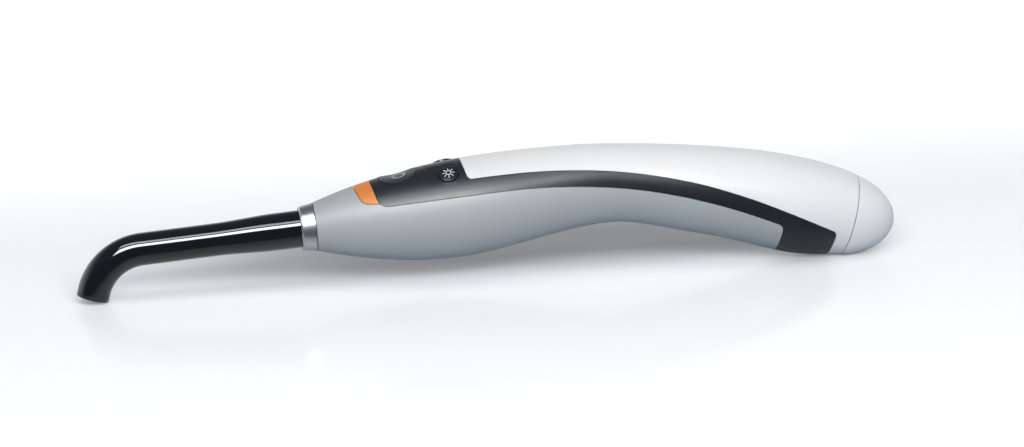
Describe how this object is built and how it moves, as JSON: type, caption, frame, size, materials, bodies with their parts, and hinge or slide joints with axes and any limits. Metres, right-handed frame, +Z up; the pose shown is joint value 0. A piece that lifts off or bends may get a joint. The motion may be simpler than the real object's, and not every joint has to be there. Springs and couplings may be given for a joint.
{
  "type": "dental curing light",
  "caption": "Cordless dental curing light: slim round body with a dished start key, a bent black light guide in a metal collar and a slide-in battery pack.",
  "frame": {"origin": "on the table, under the middle of the object's length, as it lies on its probe tip and on the underside of its rear", "axes": "+X along the length from the probe tip to the battery's end cap, +Y across, +Z up from the table"},
  "size_m": [0.2496, 0.0296, 0.0386],
  "materials": {
    "black_gloss": "gloss",
    "optical_glass": "polished",
    "satin_steel": "satin",
    "spring_steel": "bright",
    "socket_metal": "turned",
    "mirror_metal": "polished",
    "grey_satin": "satin",
    "orange_satin": "satin",
    "charcoal_satin": "satin",
    "white_gloss": "gloss",
    "button_dark": "satin",
    "window_dark": "gloss",
    "seal_rubber": "matt",
    "inner_plastic": "matt",
    "battery_plastic": "matt",
    "cell_metal": "wrapped",
    "board_green": "solder mask",
    "flex_amber": "film",
    "component_black": "moulded",
    "sink_metal": "blasted",
    "contact_gold": "plated",
    "led_yellow": "resin",
    "capacitor_can": "satin"
  },
  "bodies": {
    "handpiece": {"probe_socket": "socket_metal", "socket_window": "optical_glass", "lens_barrel": "inner_plastic", "light_reflector": "mirror_metal", "led_array": "led_yellow", "led_board": "sink_metal", "heat_sink": "sink_metal", "engine_screws": "spring_steel", "lower_shell": "grey_satin", "colour_inlay": "orange_satin", "top_shell": "white_gloss", "keypad_frame": "charcoal_satin", "frame_seals": "seal_rubber", "keypad_flex": "flex_amber", "keypad_carrier": "inner_plastic", "tact_switches": "component_black", "display_window": "window_dark", "display_module": "component_black", "chassis": "inner_plastic", "bay_contacts": "contact_gold", "main_board": "board_green", "board_screws": "spring_steel", "power_choke": "component_black", "capacitors": "capacitor_can", "controller_chip": "component_black", "sounder": "component_black"},
    "probe_retainer": {"probe_snap_ring": "spring_steel"},
    "probe": {"light_guide_sheath": "black_gloss", "light_guide_core": "optical_glass", "probe_collar": "satin_steel"},
    "start_button": {"start_button": "charcoal_satin"},
    "program_button": {"program_button": "button_dark"},
    "time_button": {"time_button": "button_dark"},
    "battery": {"battery_end_cap": "white_gloss", "battery_case": "battery_plastic", "battery_cell": "cell_metal", "battery_board": "board_green", "battery_terminals": "contact_gold", "charging_contacts": "contact_gold"}
  },
  "joints": [
    {"name": "probe_pull", "type": "slide", "parent": "handpiece", "child": "probe_retainer", "axis": [-0.9979, 0, -0.064], "range_m": [0, 0.02]},
    {"name": "probe_spin", "type": "hinge", "parent": "probe_retainer", "child": "probe", "pos_m": [-0.05225, 0, 0.01872], "axis": [-0.9979, 0, -0.064], "continuous": true},
    {"name": "start_press", "type": "slide", "parent": "handpiece", "child": "start_button", "axis": [0.2029, 0, -0.9792], "range_m": [0, 0.0007], "stiffness_N_per_m": 1500, "springref_m": -0.00033},
    {"name": "program_press", "type": "slide", "parent": "handpiece", "child": "program_button", "axis": [0.1307, 0.5, -0.8561], "range_m": [0, 0.0005], "stiffness_N_per_m": 1500, "springref_m": -0.00033},
    {"name": "time_press", "type": "slide", "parent": "handpiece", "child": "time_button", "axis": [0.1307, -0.5, -0.8561], "range_m": [0, 0.0005], "stiffness_N_per_m": 1500, "springref_m": -0.00033},
    {"name": "battery_slide", "type": "slide", "parent": "handpiece", "child": "battery", "axis": [0.9763, 0, -0.2164], "range_m": [0, 0.062]}
  ]
}
